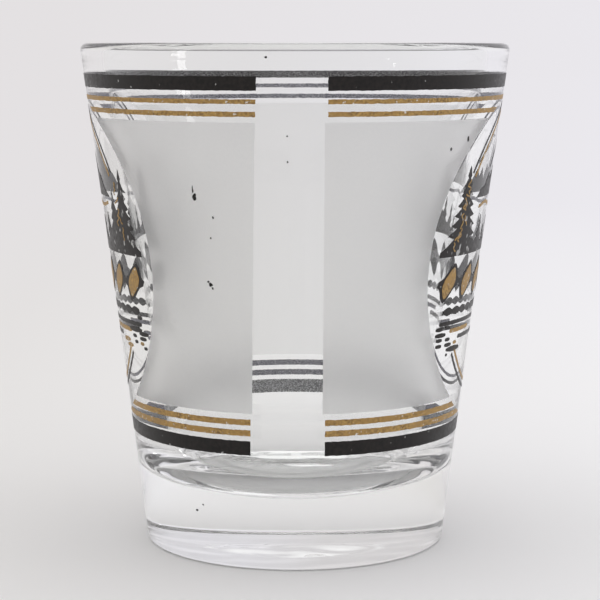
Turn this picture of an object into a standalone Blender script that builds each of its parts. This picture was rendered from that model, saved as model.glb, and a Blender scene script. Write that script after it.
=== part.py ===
"""Souvenir shot glass: a heavy-based tapered tumbler of clear pressed glass with fired enamel decoration.

+Z is up, the origin is the centre of the underside, and the clear seam of the decoration faces -Y.
Angles are degrees round the glass from that seam, positive towards +X. Lengths are metres.
The enamel lies on the glass in separate films: frosted panels, black bands, gold stripes and, in two
clear ovals at +90 and -90 degrees, the same small landscape over a garland of leaves and some water.
"""

import math

import bmesh
import bpy

# Glass body
HEIGHT = 0.0600
FOOT_RADIUS = 0.0181  # where the line of the wall meets the table
MOUTH_RADIUS = 0.0257
WAIST = 0.00016  # how far the wall bows inwards half-way up
BASE_CORNER = 0.0005
RIM_OUTER_CORNER = 0.0008
RIM_INNER_CORNER = 0.0009
BORE_AT_MOUTH = 0.0233
BORE_AT_FLOOR = 0.0146  # where the line of the inner wall meets the floor
FLOOR_HEIGHT = 0.0067
FLOOR_CORNER = 0.0068
FLOOR_DISH = 0.0011
PUNT_RADIUS = 0.0068
PUNT_DEPTH = 0.0005
TURN_STEPS = 48
WALL_STEPS = 5
CORNER_STEPS = 4
FLOOR_STEPS = 3

# Enamel films, as low and high edges
FILM_GAP = 0.0001
FILM_THICKNESS = 0.0001
COLUMN = 7.5  # degrees between the creases of a film, as between those of the glass
EDGE_STEP = 0.0022  # height of one step along a curved edge
UPPER_BAND = (0.05491, 0.05647)
UPPER_STRIPE_HIGH = (0.05347, 0.05398)
UPPER_STRIPE_LOW = (0.05208, 0.05264)
PANEL = (0.01860, 0.05145)
LOWER_STRIPE_HIGH = (0.01721, 0.01790)
LOWER_STRIPE_LOW = (0.01594, 0.01664)
LOWER_BAND = (0.01367, 0.01535)

# The clear seam, as the angles of its two edges at the top and the foot of the decoration
SEAM_TOP = 0.0560
SEAM_FOOT = 0.0140
INK_SEAM_LEFT = (-7.5, -12.7)
INK_SEAM_RIGHT = (10.3, 11.9)
PANEL_SEAM_LEFT = (-7.6, -12.1)
PANEL_SEAM_RIGHT = (9.6, 11.0)

# The clear ovals, and the sheet on which their landscape is drawn: across and up
OVAL_ANGLE = 45.2
OVAL_HALF_HEIGHT = 0.0191
OVAL_CENTRE = 0.0347
SHEET_RADIUS = 0.0224
FRAME_CENTRE = 0.0350
BLACK_FRAME_TOP = (0.01450, 0.01810)
GOLD_FRAME_TOP = (0.01365, 0.01725)
BLACK_FRAME_FOOT = (0.01450, 0.01630)
GOLD_FRAME_FOOT = (0.01365, 0.01545)
TOP_ROUNDNESS = 1.7  # 2 is an ellipse, and less is more pointed
FOOT_ROUNDNESS = 2.0
FRAME_WIDTH = 0.00038
FRAME_TOP_ENDS = (38.0, 142.0)
FRAME_FOOT_ENDS = (222.5, 317.5)
FRAME_STEPS = 16

TREE_FOOT = 0.0357
TREE_GROUND = 0.0363
GROUND_HALF_WIDTH = 0.0160
TIER = 0.00115  # height of one tier of branches
NOTCH = 0.55  # how far in a notch goes between two tiers
# Each conifer: across, height of its tip, where its left and right sides end, spread per unit of height
CONIFERS = (
    (-0.0117, 0.0461, 0.0365, 0.0372, 0.40),
    (-0.0066, 0.0401, 0.0372, 0.0369, 0.42),
    (-0.0041, 0.0388, 0.0369, 0.0368, 0.50),
    (-0.0013, 0.0396, 0.0368, 0.0368, 0.45),
    (0.0018, 0.0386, 0.0368, 0.0368, 0.50),
    (0.0046, 0.0398, 0.0368, 0.0372, 0.45),
    (0.0076, 0.0403, 0.0372, 0.0384, 0.42),
    (0.0103, 0.0432, 0.0384, 0.0408, 0.35),
    (0.0129, 0.0457, 0.0408, 0.0365, 0.30),
)
MOUNTAIN = (
    (-0.0092, 0.0422), (-0.0078, 0.0432), (-0.0068, 0.0434), (-0.0050, 0.0450), (-0.0040, 0.0440),
    (-0.0033, 0.0451), (-0.0024, 0.0437), (-0.0014, 0.0455), (-0.0007, 0.0446), (0.0001, 0.0464),
    (0.0009, 0.0481), (0.0019, 0.0473), (0.0032, 0.0468), (0.0048, 0.0451), (0.0064, 0.0445),
    (0.0078, 0.0432), (0.0095, 0.0422),
)  # fmt: skip
SNOW_RIDGE = ((-0.0049, 0.04565), (-0.0032, 0.0469), (-0.0020, 0.0475), (-0.0004, 0.0489), (0.0008, 0.0488))
RIDGE_WIDTH = 0.0003
FOOTHILL = ((-0.0080, 0.0411), (-0.0052, 0.0415), (-0.0018, 0.0410), (0.0022, 0.0414), (0.0060, 0.0411),
            (0.0086, 0.0415))  # fmt: skip
FOOTHILL_WIDTH = 0.0004

LEAVES = 7
LEAF_PITCH = 0.0045
LEAF_CENTRE = 0.0326
LEAF_HALF_WIDTH = 0.0019
LEAF_HALF_HEIGHT = 0.0023
LEAF_LEAN = 0.45  # how far a leaf leans across for each unit of height
LEAF_POINT = 1.5  # 1 is a lozenge, and more is rounder
LEAF_BORDER = 0.0005
STEM_HALF_WIDTH = 0.0003
LEAF_STEPS = 6
BEADS = 14
BEAD_PITCH = 0.0020
BEAD_CENTRE = 0.0292
BEAD_HALF_HEIGHT = 0.0005
BEAD_POINT = 2.5
BEAD_NECK = 0.0002
BEAD_STEPS = 4
RIPPLE_WIDTH = 0.0005
RIPPLE_END_STEPS = 4
# Each ripple: left end, right end, height
BLACK_RIPPLES = ((-0.0146, -0.0030, 0.0278), (0.0010, 0.0142, 0.0276), (-0.0095, 0.0070, 0.0259))
GOLD_RIPPLES = ((-0.0120, -0.0058, 0.0268), (0.0040, 0.0112, 0.0267))


def outer_radius(z):
    """Radius of the outer wall: a straight taper that bows in by WAIST half-way up."""
    share = z / HEIGHT
    return FOOT_RADIUS + (MOUTH_RADIUS - FOOT_RADIUS) * share - 4 * WAIST * share * (1 - share)


def bore_radius(z):
    share = (z - FLOOR_HEIGHT) / (HEIGHT - FLOOR_HEIGHT)
    return BORE_AT_FLOOR + (BORE_AT_MOUTH - BORE_AT_FLOOR) * share


def arc(centre, radius, start, end, steps):
    """Points on a circular arc in the (radius, height) plane, from start to end in degrees."""
    angles = [math.radians(start + (end - start) * i / steps) for i in range(steps + 1)]
    return [(centre[0] + radius * math.cos(a), centre[1] + radius * math.sin(a)) for a in angles]


def lean(wall_radius, low, high):
    """How far a wall leans outwards between two heights, in degrees."""
    return math.degrees(math.atan((wall_radius(high) - wall_radius(low)) / (high - low)))


def lower_corner(wall_radius, floor, corner):
    """The arc that joins a floor at this height to a leaning wall, from the floor outwards."""
    turn = lean(wall_radius, floor, floor + corner)
    touch = floor + corner * (1 - math.sin(math.radians(turn)))
    centre = (wall_radius(touch) - corner * math.cos(math.radians(turn)), floor + corner)
    return arc(centre, corner, -90, -turn, CORNER_STEPS)


def upper_corner(wall_radius, corner, side):
    """The arc from a leaning wall to the top of the rim: side is 1 for the outer wall and -1 for the bore."""
    turn = -side * lean(wall_radius, HEIGHT - corner, HEIGHT)
    touch = HEIGHT - corner * (1 - math.sin(math.radians(turn)))
    centre = (wall_radius(touch) - side * corner * math.cos(math.radians(turn)), HEIGHT - corner)
    return arc(centre, corner, turn if side > 0 else 180 - turn, 90, CORNER_STEPS)


def wall(wall_radius, low, high, steps):
    """Points strictly between two heights on a wall."""
    heights = [low + (high - low) * i / steps for i in range(1, steps)]
    return [(wall_radius(z), z) for z in heights]


def glass_profile():
    """The closed outline of half the glass, from the centre of the underside round to the floor's centre."""
    foot = lower_corner(outer_radius, 0, BASE_CORNER)
    punt = [
        (PUNT_RADIUS * i / FLOOR_STEPS, PUNT_DEPTH * (1 - (i / FLOOR_STEPS) ** 2))
        for i in range(FLOOR_STEPS + 1)
    ]
    rim = upper_corner(outer_radius, RIM_OUTER_CORNER, 1)
    rim += upper_corner(bore_radius, RIM_INNER_CORNER, -1)[::-1]
    corner = lower_corner(bore_radius, FLOOR_HEIGHT + FLOOR_DISH, FLOOR_CORNER)
    flat_radius = corner[0][0]
    floor = [
        (flat_radius * i / FLOOR_STEPS, FLOOR_HEIGHT + FLOOR_DISH * (i / FLOOR_STEPS) ** 2)
        for i in range(FLOOR_STEPS)
    ]
    outside = foot + wall(outer_radius, foot[-1][1], rim[0][1], WALL_STEPS)
    inside = floor + corner + wall(bore_radius, corner[-1][1], rim[-1][1], WALL_STEPS)
    return punt + outside + rim + inside[::-1]


def material(name, colour, roughness, metallic=0.0, transmission=0.0):
    made = bpy.data.materials.new(name)
    made.use_nodes = True
    shader = made.node_tree.nodes["Principled BSDF"]
    shader.inputs["Base Color"].default_value = (*colour, 1)
    shader.inputs["Roughness"].default_value = roughness
    shader.inputs["Metallic"].default_value = metallic
    shader.inputs["Transmission Weight"].default_value = transmission
    return made


def mesh_of(name, built, finish):
    """Turns a closed bmesh into a mesh with its faces out, shaded smooth, in this finish."""
    bmesh.ops.recalc_face_normals(built, faces=built.faces)
    if built.calc_volume(signed=True) < 0:
        bmesh.ops.reverse_faces(built, faces=built.faces)
    mesh = bpy.data.meshes.new(name)
    built.to_mesh(mesh)
    built.free()
    mesh.materials.append(finish)
    mesh.shade_smooth()
    mesh.set_sharp_from_angle(angle=math.radians(40))
    return mesh


def place(name, mesh, parent=None):
    placed = bpy.data.objects.new(name, mesh)
    bpy.context.collection.objects.link(placed)
    placed.parent = parent
    return placed


def glass_mesh(finish):
    """The outline turned once round Z."""
    built = bmesh.new()
    points = [built.verts.new((radius, 0, z)) for radius, z in glass_profile()]
    edges = [built.edges.new(pair) for pair in zip(points, points[1:])]
    bmesh.ops.spin(
        built, geom=points + edges, cent=(0, 0, 0), axis=(0, 0, 1), angle=math.tau, steps=TURN_STEPS
    )
    bmesh.ops.remove_doubles(built, verts=built.verts, dist=1e-6)
    return mesh_of("glass_body", built, finish)


def film_mesh(name, outline, finish, layer=0):
    """A thin film on the outer wall, from its outline as (angle, height) points; layer 1 is an overprint."""
    built = bmesh.new()
    built.faces.new([built.verts.new((angle, 0, z)) for angle, z in outline])
    first = math.floor(min(angle for angle, z in outline) / COLUMN) + 1
    last = math.ceil(max(angle for angle, z in outline) / COLUMN)
    for column in range(first, last):
        everything = built.verts[:] + built.edges[:] + built.faces[:]
        bmesh.ops.bisect_plane(
            built, geom=everything, dist=1e-5, plane_co=(column * COLUMN, 0, 0), plane_no=(1, 0, 0)
        )
    bmesh.ops.triangulate(built, faces=built.faces)
    grown = bmesh.ops.extrude_face_region(built, geom=built.faces[:], use_keep_orig=True)
    for item in grown["geom"]:
        if isinstance(item, bmesh.types.BMVert):
            item.co.y = FILM_THICKNESS
    lift = FILM_GAP + layer * (FILM_THICKNESS + FILM_GAP)
    for vertex in built.verts:
        turn = math.radians(vertex.co.x)
        radius = outer_radius(vertex.co.z) + lift + vertex.co.y
        vertex.co = (radius * math.sin(turn), -radius * math.cos(turn), vertex.co.z)
    return mesh_of(name, built, finish)


def seam_edge(angles):
    """The angle of a slanting seam edge as a function of height."""
    return lambda z: angles[0] + (angles[1] - angles[0]) * (SEAM_TOP - z) / (SEAM_TOP - SEAM_FOOT)


def oval_half_angle(z):
    inside = 1 - ((z - OVAL_CENTRE) / OVAL_HALF_HEIGHT) ** 2
    return OVAL_ANGLE * math.sqrt(max(0, inside))


def stretch(edges, start, end):
    """The outline of a film between two heights, whose ends are functions of height."""
    low, high = edges
    steps = max(1, round((high - low) / EDGE_STEP))
    levels = [low + (high - low) * i / steps for i in range(steps + 1)]
    return [(start(z), z) for z in levels] + [(end(z), z) for z in reversed(levels)]


def round_films(name, edges, finish, seam_left, seam_right):
    """One film the whole way from one side of the seam to the other."""
    outline = stretch(edges, seam_edge(seam_right), lambda z: 360 + seam_edge(seam_left)(z))
    place(name, film_mesh(name, outline, finish))


def cut_films(name, edges, finish, seam_left, seam_right):
    """Three films, parted by the seam and by the two clear ovals."""
    spans = {
        "front_right": (seam_edge(seam_right), lambda z: 90 - oval_half_angle(z)),
        "back": (lambda z: 90 + oval_half_angle(z), lambda z: 270 - oval_half_angle(z)),
        "front_left": (lambda z: 270 + oval_half_angle(z), lambda z: 360 + seam_edge(seam_left)(z)),
    }
    for side, (start, end) in spans.items():
        full_name = f"{name}_{side}"
        place(full_name, film_mesh(full_name, stretch(edges, start, end), finish))


def frame_arc(half_axes, roundness, ends):
    """A stretch of an oval line as an outline."""
    turns = [math.radians(ends[0] + (ends[1] - ends[0]) * i / FRAME_STEPS) for i in range(FRAME_STEPS + 1)]

    def reach(share):
        return math.copysign(abs(share) ** (2 / roundness), share)

    def side(grow):
        across, up = half_axes[0] + grow, half_axes[1] + grow
        return [
            (across * reach(math.cos(turn)), FRAME_CENTRE + up * reach(math.sin(turn))) for turn in turns
        ]

    return side(FRAME_WIDTH / 2) + side(-FRAME_WIDTH / 2)[::-1]


def ribbon(line, width):
    """A line as an outline of constant height above and below its points."""
    above = [(across, up + width / 2) for across, up in line]
    below = [(across, up - width / 2) for across, up in line]
    return above + below[::-1]


def branches(across, tip, end, spread, side):
    """One side of a conifer, from its first tier down to where the side ends."""
    points = []
    height = tip - TIER
    while height > end + TIER / 2:
        reach = side * spread * (tip - height)
        points.append((across + reach, height))
        points.append((across + reach * NOTCH, height - TIER * 0.25))
        height -= TIER
    points.append((across + side * spread * (tip - end), end))
    return points


def tree_line():
    """Conifers on a strip of ground, as one outline."""
    top = [(-GROUND_HALF_WIDTH, TREE_GROUND)]
    for across, tip, left_end, right_end, spread in CONIFERS:
        top += branches(across, tip, left_end, spread, -1)[::-1]
        top.append((across, tip))
        top += branches(across, tip, right_end, spread, 1)
    top.append((GROUND_HALF_WIDTH, TREE_GROUND))
    return top + [(GROUND_HALF_WIDTH, TREE_FOOT), (-GROUND_HALF_WIDTH, TREE_FOOT)]


def swell(share, half_height, point):
    """Half the height of a leaf or bead at a share of its half-width from its middle."""
    return half_height * (1 - min(1, abs(share)) ** point)


def mirrored(middle, line, lean):
    """The outline whose top edge is this line of (across, rise), leaning by this much across per rise."""
    above = [(across + lean * rise, middle + rise) for across, rise in line]
    below = [(across - lean * rise, middle - rise) for across, rise in line]
    return above + below[::-1]


def chain(count, pitch, middle, half_width, half_height, point, neck, steps, lean):
    """A row of leaves or beads joined by necks."""
    line = []
    for step in range(count * steps + 1):
        offset = ((step % steps) / steps - 0.5) * pitch
        rise = max(neck, swell(offset / half_width, half_height, point))
        line.append(((step / steps - count / 2) * pitch, rise))
    return mirrored(middle, line, lean)


def garland_border():
    return chain(
        LEAVES, LEAF_PITCH, LEAF_CENTRE, LEAF_HALF_WIDTH, LEAF_HALF_HEIGHT, LEAF_POINT, STEM_HALF_WIDTH,
        LEAF_STEPS, LEAF_LEAN,
    )  # fmt: skip


def bead_line():
    return chain(
        BEADS, BEAD_PITCH, BEAD_CENTRE, BEAD_PITCH / 2, BEAD_HALF_HEIGHT, BEAD_POINT, BEAD_NECK, BEAD_STEPS, 0
    )


def leaf(index):
    """The gold fill of one leaf of the garland, inside its black border."""
    middle = (index - (LEAVES - 1) / 2) * LEAF_PITCH
    half_width = LEAF_HALF_WIDTH - LEAF_BORDER
    half_height = LEAF_HALF_HEIGHT - LEAF_BORDER
    line = []
    for step in range(1, 2 * LEAF_STEPS):
        share = step / LEAF_STEPS - 1
        line.append((middle + share * half_width, swell(share, half_height, LEAF_POINT)))
    return mirrored(LEAF_CENTRE, line, LEAF_LEAN)


def ripple(left, right, height):
    """A bar with round ends."""
    cap = RIPPLE_WIDTH / 2
    right_end = arc((right - cap, height), cap, -90, 90, RIPPLE_END_STEPS)
    return right_end + arc((left + cap, height), cap, 90, 270, RIPPLE_END_STEPS)


def landscape():
    """The films of one oval: name, outline as (across, up), finish and layer."""
    films = [
        ("frame_black_top", frame_arc(BLACK_FRAME_TOP, TOP_ROUNDNESS, FRAME_TOP_ENDS), "black", 0),
        ("frame_gold_top", frame_arc(GOLD_FRAME_TOP, TOP_ROUNDNESS, FRAME_TOP_ENDS), "gold", 0),
        ("frame_black_foot", frame_arc(BLACK_FRAME_FOOT, FOOT_ROUNDNESS, FRAME_FOOT_ENDS), "black", 0),
        ("frame_gold_foot", frame_arc(GOLD_FRAME_FOOT, FOOT_ROUNDNESS, FRAME_FOOT_ENDS), "gold", 0),
        ("mountain", MOUNTAIN, "black", 0),
        ("snow_ridge", ribbon(SNOW_RIDGE, RIDGE_WIDTH), "black", 0),
        ("foothill", ribbon(FOOTHILL, FOOTHILL_WIDTH), "gold", 0),
        ("tree_line", tree_line(), "black", 0),
        ("garland_border", garland_border(), "black", 0),
        ("bead_line", bead_line(), "black", 0),
    ]
    films += [(f"garland_leaf_{index + 1}", leaf(index), "gold", 1) for index in range(LEAVES)]
    films += [(f"black_ripple_{i + 1}", ripple(*line), "black", 0) for i, line in enumerate(BLACK_RIPPLES)]
    films += [(f"gold_ripple_{i + 1}", ripple(*line), "gold", 0) for i, line in enumerate(GOLD_RIPPLES)]
    return films


def main():
    for existing in list(bpy.data.objects):
        bpy.data.objects.remove(existing)
    clear = material("clear_glass", (0.98, 0.99, 0.99), 0.02, transmission=1.0)
    frosted = material("frosted_enamel", (0.86, 0.87, 0.87), 0.8, transmission=0.6)
    inks = {
        "black": material("black_enamel", (0.02, 0.018, 0.017), 0.35),
        "gold": material("gold_enamel", (0.45, 0.29, 0.10), 0.45, metallic=0.6),
    }
    place("glass_body", glass_mesh(clear))

    ink_seam = (INK_SEAM_LEFT, INK_SEAM_RIGHT)
    round_films("upper_black_band", UPPER_BAND, inks["black"], *ink_seam)
    round_films("upper_gold_stripe_high", UPPER_STRIPE_HIGH, inks["gold"], *ink_seam)
    cut_films("upper_gold_stripe_low", UPPER_STRIPE_LOW, inks["gold"], *ink_seam)
    cut_films("frosted_panel", PANEL, frosted, PANEL_SEAM_LEFT, PANEL_SEAM_RIGHT)
    cut_films("lower_gold_stripe_high", LOWER_STRIPE_HIGH, inks["gold"], *ink_seam)
    cut_films("lower_gold_stripe_low", LOWER_STRIPE_LOW, inks["gold"], *ink_seam)
    round_films("lower_black_band", LOWER_BAND, inks["black"], *ink_seam)

    ovals = {}
    for side, angle in (("right", 90), ("left", -90)):
        ovals[side] = place(f"{side}_oval", None)
        ovals[side].rotation_euler.z = math.radians(angle)
    for name, drawing, ink, layer in landscape():
        outline = [(math.degrees(across / SHEET_RADIUS), up) for across, up in drawing]
        mesh = film_mesh(name, outline, inks[ink], layer)
        for side, oval in ovals.items():
            place(f"{side}_{name}", mesh, oval)


main()
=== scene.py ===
"""Looks of the souvenir shot glass: clear pressed glass, fired enamel films, a pale studio and the camera.

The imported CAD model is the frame. The glass is turned again from the same section with finer steps and
the waves that pressing leaves in it. Each enamel film is rebuilt from the outline of its CAD node, with
the torn edges of a transfer print, and lies on the glass with its inner face just inside the surface,
so that the glass shows its underside as fired enamel and not through a gap of air.
Lengths are metres. Angles are degrees round the glass from -Y, positive towards +X.
"""

import math

import bmesh
import bpy
from mathutils import Matrix, Vector, noise


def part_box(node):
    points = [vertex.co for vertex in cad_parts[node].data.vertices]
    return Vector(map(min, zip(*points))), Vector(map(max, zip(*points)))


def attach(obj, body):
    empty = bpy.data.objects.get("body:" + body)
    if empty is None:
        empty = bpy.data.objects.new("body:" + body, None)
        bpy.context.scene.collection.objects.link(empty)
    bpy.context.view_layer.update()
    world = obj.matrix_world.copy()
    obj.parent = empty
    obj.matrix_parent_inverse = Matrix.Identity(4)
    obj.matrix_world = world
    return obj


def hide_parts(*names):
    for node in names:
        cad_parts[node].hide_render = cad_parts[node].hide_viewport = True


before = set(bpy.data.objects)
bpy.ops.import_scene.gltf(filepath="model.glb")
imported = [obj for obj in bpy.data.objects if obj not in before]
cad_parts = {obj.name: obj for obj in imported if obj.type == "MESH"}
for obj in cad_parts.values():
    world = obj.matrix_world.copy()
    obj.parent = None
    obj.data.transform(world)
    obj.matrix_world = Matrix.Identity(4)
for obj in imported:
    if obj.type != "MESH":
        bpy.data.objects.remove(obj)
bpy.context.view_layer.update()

BODY = "root"

# The section of the glass, as in the CAD but for the bead of the rim. Its height comes from the frame.
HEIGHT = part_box("glass_body")[1].z
MOUTH_RADIUS = 0.0257
FOOT_RADIUS = 0.0181
WAIST = 0.00016
BASE_CORNER = 0.0005
RIM_OUTER_CORNER = 0.0008
RIM_INNER_CORNER = 0.0009
RIM_BEAD = 0.00020  # how much thicker the rim is than the line of the bore makes it
BEAD_HEIGHT = 0.0030
BORE_AT_MOUTH = 0.0233
BORE_AT_FLOOR = 0.0146
FLOOR_HEIGHT = 0.0067
FLOOR_CORNER = 0.0068
FLOOR_DISH = 0.0011
PUNT_RADIUS = 0.0068
PUNT_DEPTH = 0.0005
TURN_STEPS = 224
CORNER_STEPS = 12
WALL_STEP = 0.0008
FLOOR_STEPS = 22

# The waves that pressing leaves in the bore, the cavity's floor, its corner, the hollow and the underside
WAVES_ACROSS = 110  # bumps in a metre
WAVES_UP = 90
BORE_WAVE = 0.000006
BORE_SEED = 11
FLOOR_WAVE = 0.00003
FLOOR_WAVE_TOP = 0.0020
FLOOR_FINENESS = 2
FLOOR_SEED = 7
RIPPLE_WAVE = 0.000018
RIPPLE_LENGTH = 0.0013
RIPPLE_BEND = 5
RIPPLE_ZONE = (0.005, 0.009)  # radii between which the ripples come up
RIPPLE_SEED = 3
PUNT_WAVE = 0.00028
PUNT_FINENESS = 2.4
PUNT_EDGE = 0.002
PUNT_SEED = 5
UNDERSIDE_WAVE = 0.00010
UNDERSIDE_FINENESS = 1.9
UNDERSIDE_RISE = 0.6
UNDERSIDE_EDGE = (0.0002, 0.003)
UNDERSIDE_SEED = 13

# Enamel
FILM_LIFT = 0.00003
FILM_BED = 0.00001
OVERPRINT = 0.00003
COLUMN = 1.5  # degrees between the upright creases of a film
ROW = 0.0050  # at most this far between its level creases
LONGEST_CHORD = 0.0050  # an edge longer than this is straight
PRINT_TURN = 20  # an edge that turns by more degrees than this is a corner
DRAWING_TURN = 38
DAB_TURN = 70
SHEET_RADIUS = 0.0224  # where an oval's landscape is drawn flat
OVAL_ANGLES = {"right": 90, "left": -90}

# The torn edges: how far they wander and the length of their steps, for each enamel and for small dabs
TEARS = {"frosted_enamel": 0.00003, "black_enamel": 0.00006, "gold_enamel": 0.00007}
EDGE_STEPS = {"frosted_enamel": 0.00028, "black_enamel": 0.00026, "gold_enamel": 0.00021}
TEAR_GRAIN = 0.0005
TEAR_OCTAVES = ((1, 0.7), (2.7, 0.5))
DAB_STEP = 0.00012
DAB_GRAIN = 0.0004
DAB_TEAR = 0.5  # as a share of the tear of its enamel

# The strokes of water round each landscape: ends across from the middle of the oval, height, ink; millimetres
WATER = (
    (-15.2, -13.6, 27.2, "black"), (-13.2, -11.9, 27.25, "black"), (-15.2, -12.9, 26.5, "black"),
    (-14.9, -13.6, 25.9, "black"), (-12.9, -11.7, 25.85, "black"),
    (-14.9, -13.6, 25.2, "black"), (-12.9, -11.2, 25.2, "black"), (-10.7, -9.7, 25.3, "gold"),
    (-12.4, -8.6, 24.6, "black"), (-12.4, -11.9, 24.0, "black"), (13.3, 14.5, 28.4, "black"),
    (10.6, 14.1, 26.9, "black"), (13.3, 15.5, 26.5, "black"), (11.4, 12.5, 26.1, "black"),
    (13.3, 14.9, 25.9, "black"), (7.9, 10.2, 25.4, "gold"), (11.8, 12.7, 25.4, "black"),
    (13.3, 14.2, 25.3, "gold"), (9.0, 11.0, 24.8, "gold"), (14.1, 14.9, 24.8, "black"),
)
WATER_STROKE = 0.00037

# Wandering gold strokes over the conifers: top across and height, bottom across and height; millimetres
BOUGHS = (
    (-11.3, 44.4, -11.5, 42.9), (-12.2, 42.8, -11.2, 42.5), (-11.9, 42.4, -11.6, 41.2),
    (-12.5, 41.7, -11.7, 41.0), (-11.9, 40.6, -12.4, 38.9), (-11.6, 40.3, -11.3, 39.2),
    (-12.6, 38.9, -12.9, 37.6), (-12.1, 38.4, -12.2, 37.4), (-13.1, 37.3, -13.3, 36.3),
    (11.4, 44.0, 11.6, 42.6), (12.1, 42.3, 11.3, 41.6), (11.9, 41.0, 12.3, 39.3),
    (11.2, 40.2, 11.5, 39.0), (12.6, 38.8, 12.2, 37.4),
)
BOUGH_STROKE = 0.00017
BOUGH_SWAY = 0.0009
BOUGH_STEP = 0.00022
BOUGH_BEND = 0.45
FEWEST_STEPS = 5

# Specks left by wear and firing: angle, height, width and height in millimetres
SPECKS_ON_PANELS = (
    (-26.1, 43.1, 0.5, 0.7), (-26.6, 43.9, 0.13, 0.9), (-22.9, 33.3, 0.5, 0.4), (-23.6, 33.6, 0.22, 0.3),
    (-22.4, 32.9, 0.25, 0.3), (-21.9, 38.6, 0.2, 0.25), (-20.9, 40.9, 0.2, 0.25), (56.1, 49.2, 0.35, 0.7),
    (48.6, 48.2, 0.25, 0.4),
)
SPECKS_ON_GLASS = (
    (-4.9, 58.5, 0.3, 0.2), (0.1, 50.0, 0.16, 0.2), (0.2, 47.2, 0.16, 0.2), (-34.7, 6.4, 0.35, 0.3),
    (-31.9, 7.2, 0.3, 0.2),
)
SPECK_POINTS = 14
SPECK_BUMPS = 1.3
SPECK_UNEVENNESS = 0.35

# The dark and light grains of the undersides of the inks
BLACK_BACK = ((0.035, 0.034, 0.035), (0.33, 0.325, 0.33))
# The foot's band has its underside painted lighter than the other black: painted light, for the light it
# catches.
PAINTED_LIT_BLACK_BACK = ((0.22, 0.22, 0.225), (0.80, 0.80, 0.82))
GOLD_BACK = ((0.24, 0.235, 0.29), (0.62, 0.61, 0.67))

# Camera
CAMERA_TURN = 2.1
CAMERA_DISTANCE = 0.23855
CAMERA_HEIGHT = 0.06042
CAMERA_TILT = 7.52
CAMERA_LENS = 118.5
CAMERA_SHIFT = 0.0084

# Two strip lights: name, angle round the glass, angle above the rim, width, height and power
STRIPS = (("left_strip", -63, 21, 0.028, 0.13, 0.05), ("right_strip", 81, 9, 0.09, 0.10, 0.12))
STRIP_DISTANCE = 0.8

# The backdrop's light, by direction: at the left and right, behind the camera and overhead
BACKDROP_LEFT = (0.775, 0.752, 0.762)
BACKDROP_RIGHT = (0.83, 0.815, 0.855)
BACKDROP_BEHIND = (0.56, 0.55, 0.56)
OVERHEAD = (1.1, 1.1, 1.1)
UPPER_BACKDROP = 0.84  # how bright the backdrop is above what shows of it, as a share of the rest

# The floor's colour is painted darker and warmer to the left: painted shade, the soft shadow that falls to
# the left of the glass.
FLOOR_PAINTED_SHADE_LEFT = (0.86, 0.845, 0.825)
FLOOR_PAINTED_LIT_RIGHT = (0.98, 0.975, 0.985)
FLOOR_DROP = 0.0001
PAINTED_GLOW_UNDER_FOOT = 0.10  # painted light: a glow of emission on the floor under the glass's foot, standing in for the light the glass gathers there
PAINTED_GLOW_ZONE = (0.0176, 0.014)
FOG_ZONE = (0.12, 0.5)  # radii between which the floor fades into the backdrop


# ---------------------------------------------------------------- shape of the glass


def fade(value, low, high):
    """0 below low, 1 above high, and smooth between."""
    share = min(1, max(0, (value - low) / (high - low)))
    return share * share * (3 - 2 * share)


def outer_radius(z):
    share = z / HEIGHT
    return FOOT_RADIUS + (MOUTH_RADIUS - FOOT_RADIUS) * share - 4 * WAIST * share * (1 - share)


def bore_radius(z):
    share = (z - FLOOR_HEIGHT) / (HEIGHT - FLOOR_HEIGHT)
    bead = RIM_BEAD * fade(z, HEIGHT - BEAD_HEIGHT, HEIGHT)
    return BORE_AT_FLOOR + (BORE_AT_MOUTH - BORE_AT_FLOOR) * share - bead


def arc(centre, radius, start, end, steps):
    """Points on a circular arc in the (radius, height) plane, from start to end in degrees."""
    angles = [math.radians(start + (end - start) * i / steps) for i in range(steps + 1)]
    return [(centre[0] + radius * math.cos(a), centre[1] + radius * math.sin(a)) for a in angles]


def lean(wall_radius, low, high):
    """How far a wall leans outwards between two heights, in degrees."""
    return math.degrees(math.atan((wall_radius(high) - wall_radius(low)) / (high - low)))


def lower_corner(wall_radius, floor, corner):
    """The arc that joins a floor at this height to a leaning wall, from the floor outwards."""
    turn = lean(wall_radius, floor, floor + corner)
    touch = floor + corner * (1 - math.sin(math.radians(turn)))
    centre = (wall_radius(touch) - corner * math.cos(math.radians(turn)), floor + corner)
    return arc(centre, corner, -90, -turn, CORNER_STEPS)


def upper_corner(wall_radius, corner, side):
    """The arc from a leaning wall to the top of the rim: side is 1 for the outer wall and -1 for the bore."""
    turn = -side * lean(wall_radius, HEIGHT - corner, HEIGHT)
    touch = HEIGHT - corner * (1 - math.sin(math.radians(turn)))
    centre = (wall_radius(touch) - side * corner * math.cos(math.radians(turn)), HEIGHT - corner)
    return arc(centre, corner, turn if side > 0 else 180 - turn, 90, CORNER_STEPS)


def wall(wall_radius, low, high):
    """Points strictly between two heights on a wall."""
    steps = round((high - low) / WALL_STEP)
    heights = [low + (high - low) * i / steps for i in range(1, steps)]
    return [(wall_radius(z), z) for z in heights]


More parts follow.
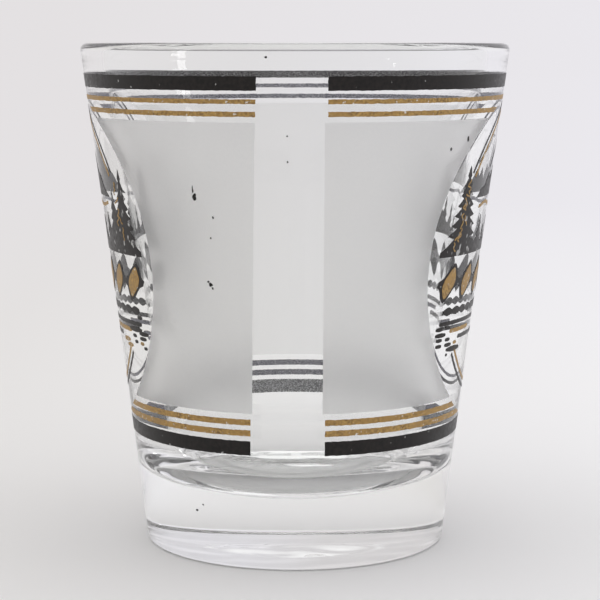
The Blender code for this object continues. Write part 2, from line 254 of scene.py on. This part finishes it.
def glass_section():
    """The outside from the centre of the underside to the top of the rim, and the inside back down."""
    foot = lower_corner(outer_radius, 0, BASE_CORNER)
    punt = [
        (PUNT_RADIUS * i / FLOOR_STEPS, PUNT_DEPTH * (1 - (i / FLOOR_STEPS) ** 2))
        for i in range(FLOOR_STEPS + 1)
    ]
    foot_radius = foot[0][0]
    ring = [(PUNT_RADIUS + (foot_radius - PUNT_RADIUS) * i / FLOOR_STEPS, 0) for i in range(1, FLOOR_STEPS)]
    outer_rim = upper_corner(outer_radius, RIM_OUTER_CORNER, 1)
    inner_rim = upper_corner(bore_radius, RIM_INNER_CORNER, -1)[::-1]
    corner = lower_corner(bore_radius, FLOOR_HEIGHT + FLOOR_DISH, FLOOR_CORNER)
    flat_radius = corner[0][0]
    floor = [
        (flat_radius * i / FLOOR_STEPS, FLOOR_HEIGHT + FLOOR_DISH * (i / FLOOR_STEPS) ** 2)
        for i in range(FLOOR_STEPS)
    ]
    outside = punt + ring + foot + wall(outer_radius, foot[-1][1], outer_rim[0][1]) + outer_rim
    inside = floor + corner + wall(bore_radius, corner[-1][1], inner_rim[-1][1])
    return outside, inner_rim + inside[::-1]


def wave(x, y, z, seed, fineness=1):
    across = WAVES_ACROSS * fineness
    return noise.noise(Vector((x * across + seed, y * across, z * WAVES_UP)))


def waved(point, inner):
    """Moves a point of the turned glass by the waves of its surface."""
    x, y, z = point
    radius = math.hypot(x, y)
    if inner:
        up = 1 - fade(z, FLOOR_HEIGHT + FLOOR_WAVE_TOP, FLOOR_HEIGHT + FLOOR_CORNER)
        out = BORE_WAVE * fade(z, FLOOR_HEIGHT, FLOOR_HEIGHT + FLOOR_CORNER)
        bend = RIPPLE_BEND * wave(x, y, 0, RIPPLE_SEED)
        swirl = math.sin(math.tau * radius / RIPPLE_LENGTH + bend)
        z += FLOOR_WAVE * up * wave(x, y, 0, FLOOR_SEED, FLOOR_FINENESS)
        z += RIPPLE_WAVE * up * swirl * fade(radius, *RIPPLE_ZONE)
        if radius > 0:
            push = 1 + out * wave(x, y, z, BORE_SEED) / radius
            x, y = x * push, y * push
    elif radius < PUNT_RADIUS:
        edge = fade(PUNT_RADIUS - radius, 0, PUNT_EDGE)
        z += PUNT_WAVE * edge * wave(x, y, 0, PUNT_SEED, PUNT_FINENESS)
        z = max(z, 0)
    elif z == 0:
        edge = fade(FOOT_RADIUS - BASE_CORNER - radius, *UNDERSIDE_EDGE)
        rise = UNDERSIDE_RISE + wave(x, y, 0, UNDERSIDE_SEED, UNDERSIDE_FINENESS)
        z += UNDERSIDE_WAVE * edge * rise
    return x, y, z


def turned_glass():
    outside, inside = glass_section()
    built = bmesh.new()
    rings = []
    for inner, points in ((False, outside), (True, inside)):
        for radius, z in points:
            turns = 1 if radius < 1e-6 else TURN_STEPS
            ring = []
            for i in range(turns):
                angle = math.tau * i / turns
                place = (radius * math.sin(angle), -radius * math.cos(angle), z)
                ring.append(built.verts.new(waved(place, inner)))
            rings.append(ring)
    for low, high in zip(rings, rings[1:]):
        for i in range(TURN_STEPS):
            j = (i + 1) % TURN_STEPS
            if len(low) == 1:
                corners = (low[0], high[j], high[i])
            elif len(high) == 1:
                corners = (low[i], low[j], high[0])
            else:
                corners = (low[i], low[j], high[j], high[i])
            built.faces.new(corners)
    bmesh.ops.recalc_face_normals(built, faces=built.faces)
    if built.calc_volume(signed=True) < 0:
        bmesh.ops.reverse_faces(built, faces=built.faces)
    mesh = bpy.data.meshes.new("glass")
    built.to_mesh(mesh)
    built.free()
    mesh.shade_smooth()
    return mesh


# ---------------------------------------------------------------- shape of the enamel


def unwrapped(point, near):
    """(angle, height) of a point, with the angle within half a turn of this one."""
    angle = math.degrees(math.atan2(point.x, -point.y))
    return angle + 360 * round((near - angle) / 360), point.z


def outline_of(node):
    """The outline of a film's outer face, as (metres round, height) on a flat sheet."""
    built = bmesh.new()
    built.from_mesh(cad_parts[node].data)
    bmesh.ops.remove_doubles(built, verts=built.verts, dist=2e-6)
    lifts = {v: math.hypot(v.co.x, v.co.y) - outer_radius(v.co.z) for v in built.verts}
    middle = (min(lifts.values()) + max(lifts.values())) / 2
    inner = [v for v in built.verts if lifts[v] < middle]
    bmesh.ops.delete(built, geom=inner, context="VERTS")
    after = {}
    for edge in built.edges:
        if len(edge.link_loops) == 1:
            loop = edge.link_loops[0]
            after[loop.vert] = loop.link_loop_next.vert
    start = min(after, key=lambda v: (v.co.z, v.co.x))
    points = [unwrapped(start.co, 0)]
    vertex = after[start]
    while vertex != start:
        points.append(unwrapped(vertex.co, points[-1][0]))
        vertex = after[vertex]
    built.free()
    return [Vector((math.radians(angle) * SHEET_RADIUS, z)) for angle, z in points]


def corners_of(points):
    """Drops the points that lie on a straight line between their neighbours."""
    kept = []
    count = len(points)
    for i, point in enumerate(points):
        before = point - points[i - 1]
        after = points[(i + 1) % count] - point
        if before.length > 1e-7 and abs(before.angle_signed(after)) > math.radians(0.6):
            kept.append(point)
    return kept


def softened(points, step, sharp):
    """Runs a curve through the points, broken at straight edges and where it turns by over sharp degrees."""
    count = len(points)
    made = []

    def slope(i):
        before = points[i] - points[i - 1]
        after = points[(i + 1) % count] - points[i]
        if max(before.length, after.length) > LONGEST_CHORD:
            return None
        if abs(before.angle_signed(after)) > math.radians(sharp):
            return None
        return (before.normalized() + after.normalized()).normalized()

    for i, start in enumerate(points):
        end = points[(i + 1) % count]
        chord = end - start
        leave = slope(i) or chord.normalized()
        arrive = slope((i + 1) % count) or chord.normalized()
        steps = max(1, round(chord.length / step))
        for k in range(steps):
            t = k / steps
            spot = start * (2 * t**3 - 3 * t**2 + 1) + end * (3 * t**2 - 2 * t**3)
            spot += leave * chord.length * (t**3 - 2 * t**2 + t) + arrive * chord.length * (t**3 - t**2)
            made.append(spot)
    return made


def torn(points, tear, grain, seed):
    """Moves the points of an edge by noise, as the edge of a fired transfer is."""
    moved = []
    for point in points:
        shift = Vector((0, 0))
        for finer, share in TEAR_OCTAVES:
            where = Vector((point.x * finer / grain, point.y * finer / grain, seed))
            aside = where + Vector((31.7, 11.3, 5.1))
            shift += share * Vector((noise.noise(where), noise.noise(aside)))
        moved.append(point + shift * tear)
    return moved


def stroke(points, width):
    """The outline of a pen stroke through points of the flat sheet, with round ends."""

    def side_of(i):
        along = points[min(i + 1, len(points) - 1)] - points[max(i - 1, 0)]
        return Vector((along.y, -along.x)).normalized() * width / 2

    def rounded(point, side):
        return [point + Matrix.Rotation(math.radians(turn), 2) @ side for turn in (45, 90, 135)]

    right = [point + side_of(i) for i, point in enumerate(points)]
    left = [point - side_of(i) for i, point in enumerate(points)]
    end = rounded(points[-1], side_of(len(points) - 1))
    return right + end + left[::-1] + rounded(points[0], -side_of(0))


def wandering(top, bottom, seed):
    """Points of a bough that wanders on its way from one end to the other."""
    steps = max(FEWEST_STEPS, round((bottom - top).length / BOUGH_STEP))
    points = []
    for i in range(steps + 1):
        drift = noise.noise(Vector((BOUGH_BEND * i, seed, 0.5)))
        points.append(top.lerp(bottom, i / steps) + Vector((BOUGH_SWAY * drift, 0)))
    return points


def blot(middle, width, height, seed):
    """The uneven outline of a speck."""
    points = []
    for i in range(SPECK_POINTS):
        turn = math.tau * i / SPECK_POINTS
        out = Vector((math.cos(turn), math.sin(turn)))
        bump = noise.noise(Vector((out.x * SPECK_BUMPS, out.y * SPECK_BUMPS, seed)))
        reach = 0.5 + SPECK_UNEVENNESS * bump
        points.append(middle + Vector((width * reach * out.x, height * reach * out.y)))
    return points


def on_sheet(angle, across, height):
    """A place on the flat sheet from an angle, and millimetres across from it and up."""
    return Vector((math.radians(angle) * SHEET_RADIUS + across / 1000, height / 1000))


def wrapped(flat, lift):
    """The place on the glass of a point of the flat sheet."""
    turn = flat.x / SHEET_RADIUS
    radius = outer_radius(flat.y) + lift
    return Vector((radius * math.sin(turn), -radius * math.cos(turn), flat.y))


def cut(built, place, normal):
    everything = built.verts[:] + built.edges[:] + built.faces[:]
    bmesh.ops.bisect_plane(built, geom=everything, dist=1e-8, plane_co=place, plane_no=normal)


def add_film(built, outline, lift, bed):
    """Adds a closed film over a flat outline to a bmesh: outer face and edges in slot 0, inner face in 1."""
    sheet = bmesh.new()
    sheet.faces.new([sheet.verts.new((p.x, p.y, 0)) for p in outline])
    low = Vector((min(p.x for p in outline), min(p.y for p in outline)))
    high = Vector((max(p.x for p in outline), max(p.y for p in outline)))
    column = math.radians(COLUMN) * SHEET_RADIUS
    for i in range(math.floor(low.x / column) + 1, math.ceil(high.x / column)):
        cut(sheet, (i * column, 0, 0), (1, 0, 0))
    rows = math.ceil((high.y - low.y) / ROW)
    for i in range(1, rows):
        cut(sheet, (0, low.y + (high.y - low.y) * i / rows, 0), (0, 1, 0))
    bmesh.ops.triangulate(sheet, faces=sheet.faces)
    sheet.normal_update()
    outer = {v: built.verts.new(wrapped(v.co, lift)) for v in sheet.verts}
    inner = {v: built.verts.new(wrapped(v.co, bed)) for v in sheet.verts}
    for face in sheet.faces:
        corners = [loop.vert for loop in face.loops]
        if face.normal.z < 0:
            corners.reverse()
        built.faces.new([outer[v] for v in corners]).material_index = 0
        built.faces.new([inner[v] for v in reversed(corners)]).material_index = 1
    for edge in sheet.edges:
        if len(edge.link_loops) == 1:
            loop = edge.link_loops[0]
            a, b = loop.vert, loop.link_loop_next.vert
            if loop.face.normal.z < 0:
                a, b = b, a
            built.faces.new((outer[b], outer[a], inner[a], inner[b])).material_index = 0
    sheet.free()


def finished(name, built, finishes):
    """A piece from a bmesh of closed films, shaded smooth but for its edges."""
    mesh = bpy.data.meshes.new(name)
    built.to_mesh(mesh)
    built.free()
    for finish in finishes:
        mesh.materials.append(finish)
    mesh.shade_smooth()
    mesh.set_sharp_from_angle(angle=math.radians(40))
    piece = bpy.data.objects.new(name, mesh)
    bpy.context.collection.objects.link(piece)
    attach(piece, BODY)
    return piece


# ---------------------------------------------------------------- materials


def new_material(name, colour, roughness, **values):
    made = bpy.data.materials.new(name)
    made.use_nodes = True
    shader = made.node_tree.nodes["Principled BSDF"]
    shader.inputs["Base Color"].default_value = (*colour, 1)
    shader.inputs["Roughness"].default_value = roughness
    for label, value in values.items():
        shader.inputs[label.replace("_", " ")].default_value = value
    return made, made.node_tree, shader


def noise_value(tree, scale, detail, stretch=(1, 1, 1)):
    """A noise over the piece's own space, as a factor."""
    place = tree.nodes.new("ShaderNodeTexCoord")
    scaled = tree.nodes.new("ShaderNodeMapping")
    scaled.inputs["Scale"].default_value = stretch
    tree.links.new(place.outputs["Object"], scaled.inputs["Vector"])
    made = tree.nodes.new("ShaderNodeTexNoise")
    made.inputs["Scale"].default_value = scale
    made.inputs["Detail"].default_value = detail
    tree.links.new(scaled.outputs["Vector"], made.inputs["Vector"])
    return made.outputs[0]


def ranged(tree, factor, low, high, to_low=0.0, to_high=1.0):
    made = tree.nodes.new("ShaderNodeMapRange")
    made.inputs["From Min"].default_value = low
    made.inputs["From Max"].default_value = high
    made.inputs["To Min"].default_value = to_low
    made.inputs["To Max"].default_value = to_high
    tree.links.new(factor, made.inputs["Value"])
    return made.outputs["Result"]


def mixed(tree, factor, first, second):
    """A colour between two, each an output or a colour."""
    made = tree.nodes.new("ShaderNodeMix")
    made.data_type = "RGBA"
    tree.links.new(factor, made.inputs["Factor"])
    for label, value in (("A", first), ("B", second)):
        socket = next(s for s in made.inputs if s.name == label and s.type == "RGBA")
        if isinstance(value, tuple):
            socket.default_value = (*value, 1)
        else:
            tree.links.new(value, socket)
    return next(s for s in made.outputs if s.type == "RGBA")


def bumped(tree, shader, height, strength, distance):
    made = tree.nodes.new("ShaderNodeBump")
    made.inputs["Strength"].default_value = strength
    made.inputs["Distance"].default_value = distance
    tree.links.new(height, made.inputs["Height"])
    tree.links.new(made.outputs["Normal"], shader.inputs["Normal"])


def clear_glass():
    """Soda-lime glass with the faint smears of handling."""
    made, tree, shader = new_material(
        "clear_glass", (0.985, 0.99, 0.985), 0.0, Transmission_Weight=1.0, IOR=1.5
    )
    smears = noise_value(tree, 55, 4, (1, 1, 0.4))
    tree.links.new(ranged(tree, smears, 0.55, 0.75, 0.0, 0.02), shader.inputs["Roughness"])
    return made


def frosted_enamel():
    """White acid-look enamel that lets light through without an image."""
    made, tree, shader = new_material(
        "frosted_enamel", (0.98, 0.98, 0.97), 0.5, Transmission_Weight=0.94, IOR=1.18
    )
    cloud = ranged(tree, noise_value(tree, 90, 5), 0.3, 0.7)
    tone = mixed(tree, cloud, (0.965, 0.963, 0.955), (0.99, 0.988, 0.98))
    grain = ranged(tree, noise_value(tree, 3200, 2), 0.35, 0.65)
    tone = mixed(tree, grain, tone, (0.955, 0.955, 0.95))
    tree.links.new(tone, shader.inputs["Base Color"])
    tree.links.new(ranged(tree, cloud, 0, 1, 0.48, 0.60), shader.inputs["Roughness"])
    bumped(tree, shader, noise_value(tree, 9000, 2), 0.3, 0.00002)
    return made


def black_enamel(name="black_enamel", scale=1900, edges=(0.75, 0.78), stretch=(1, 1, 1)):
    """Dense black, a little glossy, with holes of this scale where a noise lies above these edges."""
    made, tree, shader = new_material(name, (0.008, 0.007, 0.006), 0.35)
    shader.inputs["Specular IOR Level"].default_value = 0.3
    mottle = ranged(tree, noise_value(tree, 2500, 3), 0.35, 0.7)
    tone = mixed(tree, mottle, (0.004, 0.003, 0.0025), (0.016, 0.012, 0.0105))
    holes = ranged(tree, noise_value(tree, scale, 1, stretch), *edges)
    tree.links.new(mixed(tree, holes, tone, (0.42, 0.42, 0.41)), shader.inputs["Base Color"])
    tree.links.new(ranged(tree, mottle, 0, 1, 0.3, 0.5), shader.inputs["Roughness"])
    bumped(tree, shader, noise_value(tree, 3500, 2), 0.25, 0.00002)
    return made


def gold_enamel():
    """Bright gold in a brown enamel, grainy and worn through in specks."""
    made, tree, shader = new_material("gold_enamel", (0.36, 0.21, 0.06), 0.45, Metallic=0.3)
    grain = ranged(tree, noise_value(tree, 3400, 4), 0.35, 0.65)
    patches = ranged(tree, noise_value(tree, 420, 3), 0.35, 0.7)
    tone = mixed(tree, grain, (0.17, 0.095, 0.03), (0.56, 0.36, 0.115))
    tone = mixed(tree, patches, tone, (0.40, 0.24, 0.075))
    chips = ranged(tree, noise_value(tree, 2300, 2), 0.66, 0.71)
    tree.links.new(mixed(tree, chips, tone, (0.72, 0.69, 0.64)), shader.inputs["Base Color"])
    tree.links.new(ranged(tree, grain, 0, 1, 0.35, 0.6), shader.inputs["Roughness"])
    bumped(tree, shader, noise_value(tree, 4200, 2), 0.4, 0.00002)
    return made


def enamel_back(name, dark, light):
    """The underside of an enamel as it is seen through the glass: matt and speckled."""
    made, tree, shader = new_material(name, dark, 0.8)
    shader.inputs["Specular IOR Level"].default_value = 0.0
    speckle = ranged(tree, noise_value(tree, 4200, 3, (1, 1, 1.6)), 0.42, 0.64)
    tree.links.new(mixed(tree, speckle, dark, light), shader.inputs["Base Color"])
    return made


# ---------------------------------------------------------------- pieces


def make_glass():
    piece = bpy.data.objects.new("glass", turned_glass())
    bpy.context.collection.objects.link(piece)
    piece.data.materials.append(clear_glass())
    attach(piece, BODY)
    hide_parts("glass_body")


def finish_of(node):
    if "panel" in node:
        return "frosted_enamel"
    gold = any(word in node for word in ("gold", "leaf", "foothill"))
    return "gold_enamel" if gold else "black_enamel"


def wear_of(node):
    """The look of this film: the trees are scratched, and the foot's band gets an underside painted lighter,
    painted light.
    """
    if "tree" in node:
        return "scratched_black_enamel"
    return "thin_black_enamel" if node == "lower_black_band" else finish_of(node)


def make_films(finishes):
    for number, node in enumerate(sorted(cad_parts)):
        if node == "glass_body":
            continue
        slot = finish_of(node)
        drawn = "left_" in node or "right_" in node
        turn = DRAWING_TURN if drawn else PRINT_TURN
        outline = softened(corners_of(outline_of(node)), EDGE_STEPS[slot], turn)
        outline = torn(outline, TEARS[slot], TEAR_GRAIN, number * 3.7)
        over = OVERPRINT if "leaf" in node else 0
        built = bmesh.new()
        add_film(built, outline, FILM_LIFT + over, over - FILM_BED)
        piece = finished(f"{node}_enamel", built, finishes[wear_of(node)])
        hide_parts(node)


def add_outlines(name, outlines, slot, finishes, over):
    """One piece of many small dabs of one ink."""
    built = bmesh.new()
    for number, outline in enumerate(outlines):
        dab = softened(outline, DAB_STEP, DAB_TURN)
        dab = torn(dab, TEARS[slot] * DAB_TEAR, DAB_GRAIN, number * 1.9)
        add_film(built, dab, FILM_LIFT + over, over - FILM_BED)
    piece = finished(name, built, finishes[slot])


def make_fine_prints(finishes):
    """Water and boughs in both ovals, and the specks of wear."""
    for side, angle in OVAL_ANGLES.items():
        for ink in ("black", "gold"):
            strokes = []
            for start, end, height, ink_of in WATER:
                if ink_of == ink:
                    ends = [on_sheet(angle, start, height), on_sheet(angle, end, height)]
                    inset = (ends[1] - ends[0]).normalized() * WATER_STROKE / 2
                    strokes.append(stroke([ends[0] + inset, ends[1] - inset], WATER_STROKE))
            add_outlines(f"{side}_{ink}_water_strokes", strokes, f"{ink}_enamel", finishes, 0)
        boughs = []
        for number, (top, high, bottom, low) in enumerate(BOUGHS):
            path = wandering(on_sheet(angle, top, high), on_sheet(angle, bottom, low), number * 2.3)
            boughs.append(stroke(path, BOUGH_STROKE))
        add_outlines(f"{side}_boughs", boughs, "gold_enamel", finishes, OVERPRINT)
    for name, specks, over in (
        ("specks_on_panels", SPECKS_ON_PANELS, OVERPRINT), ("specks_on_glass", SPECKS_ON_GLASS, 0)
    ):
        blots = [
            blot(on_sheet(angle, 0, z), width / 1000, height / 1000, number * 4.1)
            for number, (angle, z, width, height) in enumerate(specks)
        ]
        add_outlines(name, blots, "black_enamel", finishes, over)


# ---------------------------------------------------------------- studio and camera


def place_camera():
    data = bpy.data.cameras.new("camera")
    data.lens = CAMERA_LENS
    data.sensor_width = 36
    data.shift_x = CAMERA_SHIFT
    data.clip_start = 0.01
    data.clip_end = 20
    camera = bpy.data.objects.new("camera", data)
    bpy.context.collection.objects.link(camera)
    turn = math.radians(CAMERA_TURN)
    camera.location = (
        CAMERA_DISTANCE * math.sin(turn), -CAMERA_DISTANCE * math.cos(turn), CAMERA_HEIGHT
    )
    camera.rotation_euler = (math.radians(90 - CAMERA_TILT), 0, turn)
    bpy.context.scene.camera = camera


def strip_light(name, turn, rise, width, height, power):
    """A rectangular light that faces the rim of the glass."""
    data = bpy.data.lights.new(name, "AREA")
    data.shape = "RECTANGLE"
    data.size, data.size_y = width, height
    data.energy = power
    light = bpy.data.objects.new(name, data)
    bpy.context.collection.objects.link(light)
    angle, climb = math.radians(turn), math.radians(rise)
    out = STRIP_DISTANCE * math.cos(climb)
    rim = Vector((0, 0, HEIGHT))
    place = Vector((out * math.sin(angle), -out * math.cos(angle), HEIGHT + STRIP_DISTANCE * math.sin(climb)))
    light.location = place
    light.rotation_euler = (rim - place).to_track_quat("-Z", "Y").to_euler()


def backdrop_colour(tree, direction):
    """The light from this direction: pale, cooler to the right, dimmer behind the camera and higher up."""
    parts = tree.nodes.new("ShaderNodeSeparateXYZ")
    tree.links.new(direction, parts.inputs[0])
    across = ranged(tree, parts.outputs["X"], -0.16, 0.18)
    tone = mixed(tree, across, BACKDROP_LEFT, BACKDROP_RIGHT)
    side = ranged(tree, parts.outputs["Y"], -0.95, 0.0)
    tone = mixed(tree, side, BACKDROP_BEHIND, tone)
    over = ranged(tree, parts.outputs["Z"], 0.12, 0.26, 1.0, UPPER_BACKDROP)
    tone = mixed(tree, over, (0, 0, 0), tone)
    above = ranged(tree, parts.outputs["Z"], 0.38, 0.9)
    return mixed(tree, above, tone, OVERHEAD)


def studio():
    scene = bpy.context.scene
    scene.view_settings.view_transform = "Standard"
    scene.cycles.max_bounces = 48
    scene.cycles.glossy_bounces = 24
    scene.cycles.transmission_bounces = 40
    scene.cycles.diffuse_bounces = 5
    world = bpy.data.worlds.new("studio")
    scene.world = world
    world.use_nodes = True
    tree = world.node_tree
    direction = tree.nodes.new("ShaderNodeTexCoord")
    light = backdrop_colour(tree, direction.outputs["Generated"])
    tree.links.new(light, tree.nodes["Background"].inputs["Color"])
    for strip in STRIPS:
        strip_light(*strip)
    make_floor()


def make_floor():
    """A pale floor that fades into the backdrop, with painted shade darkening it to the left and a painted
    glow under the glass's foot.
    """
    built = bmesh.new()
    bmesh.ops.create_circle(built, cap_ends=True, segments=96, radius=3)
    mesh = bpy.data.meshes.new("floor")
    built.to_mesh(mesh)
    built.free()
    floor = bpy.data.objects.new("floor", mesh)
    floor.location.z = -FLOOR_DROP
    bpy.context.collection.objects.link(floor)
    finish, tree, shader = new_material("floor", (0.96, 0.95, 0.945), 0.7)
    shader.inputs["Specular IOR Level"].default_value = 0.0
    place = tree.nodes.new("ShaderNodeTexCoord").outputs["Object"]
    parts = tree.nodes.new("ShaderNodeSeparateXYZ")
    tree.links.new(place, parts.inputs[0])
    # painted shade: the floor's colour darkens towards the left
    across = ranged(tree, parts.outputs["X"], -0.07, 0.06)
    tree.links.new(mixed(tree, across, FLOOR_PAINTED_SHADE_LEFT, FLOOR_PAINTED_LIT_RIGHT), shader.inputs["Base Color"])
    reach = tree.nodes.new("ShaderNodeVectorMath")
    reach.operation = "LENGTH"
    tree.links.new(place, reach.inputs[0])
    # painted light: the floor glows a little under the glass's foot, fading out across the zone
    painted_glow = ranged(tree, reach.outputs["Value"], *PAINTED_GLOW_ZONE, 0.0, PAINTED_GLOW_UNDER_FOOT)
    shader.inputs["Emission Color"].default_value = (1, 1, 1, 1)
    tree.links.new(painted_glow, shader.inputs["Emission Strength"])
    fog = ranged(tree, reach.outputs["Value"], *FOG_ZONE)
    glow = tree.nodes.new("ShaderNodeEmission")
    outwards = tree.nodes.new("ShaderNodeVectorMath")
    outwards.operation = "NORMALIZE"
    tree.links.new(place, outwards.inputs[0])
    tree.links.new(backdrop_colour(tree, outwards.outputs["Vector"]), glow.inputs["Color"])
    blend = tree.nodes.new("ShaderNodeMixShader")
    tree.links.new(fog, blend.inputs["Fac"])
    tree.links.new(shader.outputs[0], blend.inputs[1])
    tree.links.new(glow.outputs[0], blend.inputs[2])
    tree.links.new(blend.outputs[0], tree.nodes["Material Output"].inputs["Surface"])
    mesh.materials.append(finish)


def main():
    place_camera()
    studio()
    make_glass()
    black, black_back = black_enamel(), enamel_back("black_enamel_back", *BLACK_BACK)
    scratched = black_enamel("scratched_black_enamel", 1500, (0.65, 0.69), (1, 1, 0.6))
    finishes = {
        "frosted_enamel": (frosted_enamel(),) * 2,
        "black_enamel": (black, black_back),
        # the foot's band: the same black, with its underside painted lighter as painted light
        "thin_black_enamel": (black, enamel_back("thin_black_enamel_back", *PAINTED_LIT_BLACK_BACK)),
        "scratched_black_enamel": (scratched, black_back),
        "gold_enamel": (gold_enamel(), enamel_back("gold_enamel_back", *GOLD_BACK)),
    }
    make_films(finishes)
    make_fine_prints(finishes)


main()
